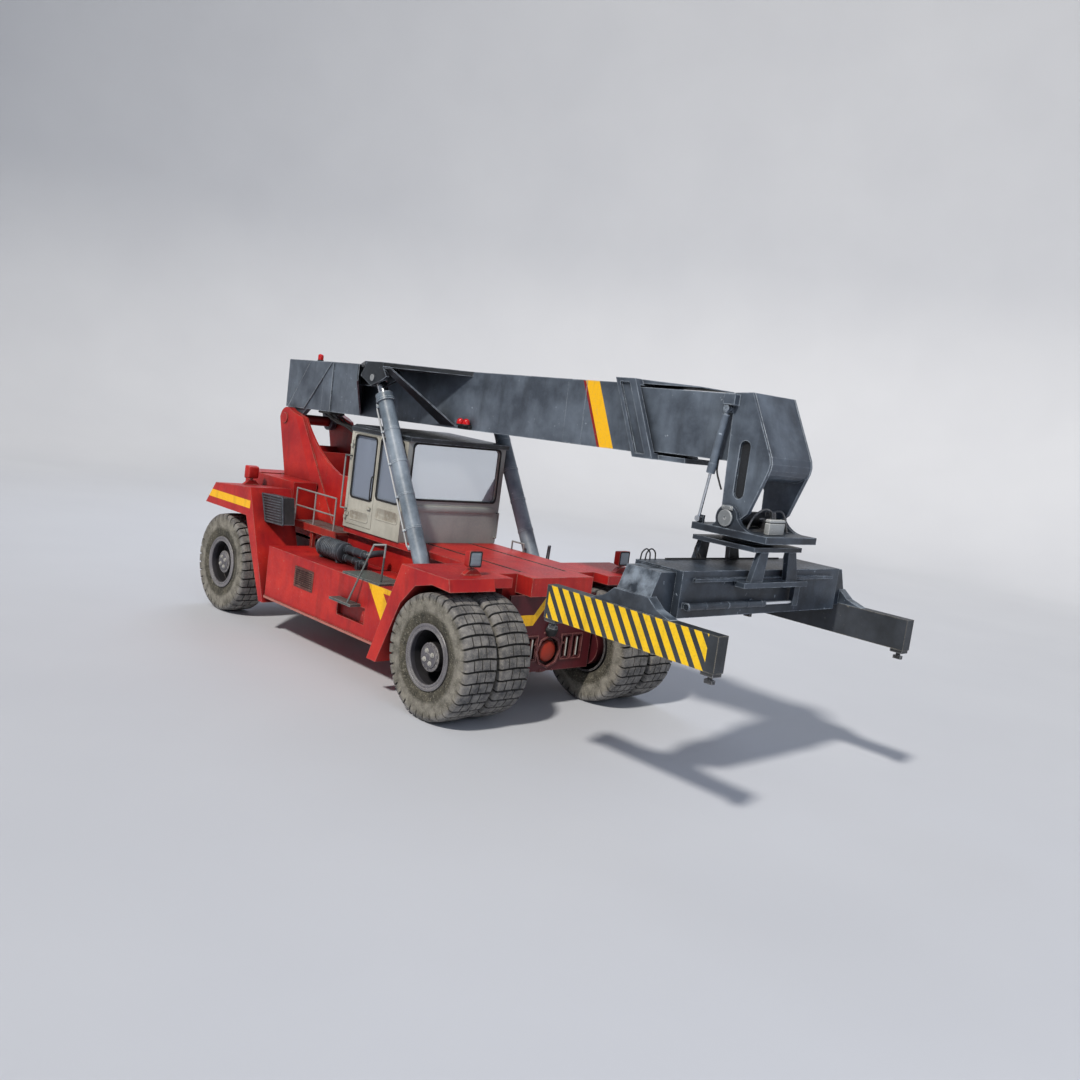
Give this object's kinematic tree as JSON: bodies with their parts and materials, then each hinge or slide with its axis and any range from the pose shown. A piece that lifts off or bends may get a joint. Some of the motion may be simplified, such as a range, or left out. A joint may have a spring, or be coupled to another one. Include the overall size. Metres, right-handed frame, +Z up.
{
  "type": "reach stacker",
  "caption": "Container handler: telescopic boom over a central cab, levelling rotating spreader with sliding arms, dual front wheels, steered rear wheels.",
  "frame": {"origin": "centre of the footprint's box, on the floor", "axes": "+X forwards, +Y left, +Z up"},
  "size_m": [11.525, 4, 4.6772],
  "materials": {
    "red_paint": "worn red paint",
    "dark_red_paint": "worn dark red paint",
    "boom_paint": "worn blue-grey paint",
    "yellow_paint": "yellow paint with black stripes",
    "cylinder_paint": "grey-blue paint",
    "chrome": "polished",
    "tyre": "dusty rubber",
    "rim_paint": "grey paint",
    "dark_steel": "dark steel",
    "cab_paint": "worn beige-grey paint",
    "glass": "clear",
    "black_plastic": "matt black",
    "red_lens": "red lens"
  },
  "bodies": {
    "chassis": {"main_frame": "dark_red_paint", "front_deck": "red_paint", "front_fenders": "red_paint", "boom_tower": "red_paint", "counterweight": "red_paint", "rear_fenders": "red_paint", "side_boxes": "red_paint", "lift_brackets": "dark_red_paint", "front_axle": "dark_red_paint", "rear_axle": "dark_red_paint", "engine_block": "dark_steel", "walkways": "red_paint", "boarding_steps": "dark_steel", "canisters": "dark_steel", "intake_boxes": "dark_steel", "work_lamps": "red_paint", "cab_shell": "cab_paint", "cab_roof": "cab_paint", "cab_glass": "glass", "driver_seat": "black_plastic", "console": "black_plastic", "grab_rails": "red_paint"},
    "cab_door": {"cab_door": "cab_paint", "door_glass": "glass"},
    "boom": {"outer_boom": "boom_paint", "boom_wings": "boom_paint", "boom_lamps": "red_lens"},
    "inner_boom": {"inner_boom": "boom_paint", "boom_head": "boom_paint", "head_pin": "dark_steel"},
    "damper_barrels": {"damper_barrels": "cylinder_paint"},
    "damper_rods": {"damper_rods": "chrome"},
    "tilt_frame": {"tilt_frame": "boom_paint", "rotator_motor": "dark_steel"},
    "rotator": {"rotator_frame": "boom_paint"},
    "spreader": {"spreader_body": "boom_paint"},
    "front_wheel_right": {"front_tyres_right": "tyre", "front_rim_right": "rim_paint"},
    "rear_knuckle_right": {"rear_knuckle_right": "dark_steel"},
    "rear_wheel_right": {"rear_tyre_right": "tyre", "rear_rim_right": "rim_paint"},
    "lift_barrel_right": {"lift_barrel_right": "cylinder_paint"},
    "lift_rod_right": {"lift_rod_right": "chrome"},
    "arm_right": {"spreader_arm_right": "boom_paint", "end_beam_right": "yellow_paint", "twistlocks_right": "dark_steel"},
    "front_wheel_left": {"front_tyres_left": "tyre", "front_rim_left": "rim_paint"},
    "rear_knuckle_left": {"rear_knuckle_left": "dark_steel"},
    "rear_wheel_left": {"rear_tyre_left": "tyre", "rear_rim_left": "rim_paint"},
    "lift_barrel_left": {"lift_barrel_left": "cylinder_paint"},
    "lift_rod_left": {"lift_rod_left": "chrome"},
    "arm_left": {"spreader_arm_left": "boom_paint", "end_beam_left": "yellow_paint", "twistlocks_left": "dark_steel"}
  },
  "joints": [
    {"name": "cab_door_hinge", "type": "hinge", "parent": "chassis", "child": "cab_door", "pos_m": [-2.3795, -0.968, 2.7], "axis": [0, 0, -1], "range_deg": [0, 80]},
    {"name": "front_wheel_right_spin", "type": "hinge", "parent": "chassis", "child": "front_wheel_right", "pos_m": [1.3505, -1.45, 0.8375], "axis": [0, 1, 0], "continuous": true},
    {"name": "rear_steer_right", "type": "hinge", "parent": "chassis", "child": "rear_knuckle_right", "pos_m": [-4.9125, -1.06, 0.8375], "axis": [0, 0, 1], "range_deg": [-40, 40]},
    {"name": "rear_wheel_right_spin", "type": "hinge", "parent": "rear_knuckle_right", "child": "rear_wheel_right", "pos_m": [-4.9125, -1.434, 0.8375], "axis": [0, 1, 0], "continuous": true},
    {"name": "front_wheel_left_spin", "type": "hinge", "parent": "chassis", "child": "front_wheel_left", "pos_m": [1.3505, 1.45, 0.8375], "axis": [0, 1, 0], "continuous": true},
    {"name": "rear_steer_left", "type": "hinge", "parent": "chassis", "child": "rear_knuckle_left", "pos_m": [-4.9125, 1.06, 0.8375], "axis": [0, 0, 1], "range_deg": [-40, 40]},
    {"name": "rear_wheel_left_spin", "type": "hinge", "parent": "rear_knuckle_left", "child": "rear_wheel_left", "pos_m": [-4.9125, 1.434, 0.8375], "axis": [0, 1, 0], "continuous": true},
    {"name": "boom_lift", "type": "hinge", "parent": "chassis", "child": "boom", "pos_m": [-5.2095, 0, 3.38], "axis": [0, -1, 0], "range_deg": [0, 50]},
    {"name": "boom_extend", "type": "slide", "parent": "boom", "child": "inner_boom", "axis": [0.9997, 0, 0.0244], "range_m": [0, 5.6]},
    {"name": "lift_barrel_right_swing", "type": "hinge", "parent": "chassis", "child": "lift_barrel_right", "pos_m": [0.3205, -1.09, 1], "axis": [0, -1, 0], "range_deg": [-0.5, 4.07]},
    {"name": "lift_rod_right_slide", "type": "slide", "parent": "lift_barrel_right", "child": "lift_rod_right", "axis": [-0.516, 0, 0.8566], "range_m": [-0.01, 3.095]},
    {"name": "lift_barrel_left_swing", "type": "hinge", "parent": "chassis", "child": "lift_barrel_left", "pos_m": [0.3205, 1.09, 1], "axis": [0, -1, 0], "range_deg": [-0.5, 4.07]},
    {"name": "lift_rod_left_slide", "type": "slide", "parent": "lift_barrel_left", "child": "lift_rod_left", "axis": [-0.516, 0, 0.8566], "range_m": [-0.01, 3.095]},
    {"name": "head_tilt", "type": "hinge", "parent": "inner_boom", "child": "tilt_frame", "pos_m": [4.5505, 0, 3.218], "axis": [0, 1, 0], "range_deg": [-1, 51]},
    {"name": "damper_swing", "type": "hinge", "parent": "inner_boom", "child": "damper_barrels", "pos_m": [4.3255, 0, 4.44], "axis": [0, -1, 0], "range_deg": [-0.5, 3.02]},
    {"name": "damper_rod_slide", "type": "slide", "parent": "damper_barrels", "child": "damper_rods", "axis": [0.134, 0, 0.991], "range_m": [-0.01, 0.35]},
    {"name": "rotator_turn", "type": "hinge", "parent": "tilt_frame", "child": "rotator", "pos_m": [4.5435, 0, 2.955], "axis": [0, 0, 1], "range_deg": [-105, 195]},
    {"name": "side_shift", "type": "slide", "parent": "rotator", "child": "spreader", "axis": [0, 1, 0], "range_m": [-0.4, 0.4]},
    {"name": "arm_right_slide", "type": "slide", "parent": "spreader", "child": "arm_right", "axis": [0, -1, 0], "range_m": [0, 1.08]},
    {"name": "arm_left_slide", "type": "slide", "parent": "spreader", "child": "arm_left", "axis": [0, 1, 0], "range_m": [0, 1.08]}
  ],
  "couplings": [
    {"joint": "rear_steer_left", "follows": "rear_steer_right", "ratio": 1},
    {"joint": "lift_barrel_right_swing", "follows": "boom_lift", "ratio": 0.071436},
    {"joint": "lift_rod_right_slide", "follows": "boom_lift", "m_per_rad": 3.5353},
    {"joint": "lift_barrel_left_swing", "follows": "boom_lift", "ratio": 0.071436},
    {"joint": "lift_rod_left_slide", "follows": "boom_lift", "m_per_rad": 3.5353},
    {"joint": "head_tilt", "follows": "boom_lift", "ratio": 1},
    {"joint": "damper_swing", "follows": "boom_lift", "ratio": 0.050353},
    {"joint": "damper_rod_slide", "follows": "boom_lift", "m_per_rad": 0.38957},
    {"joint": "arm_left_slide", "follows": "arm_right_slide", "ratio": 1}
  ]
}
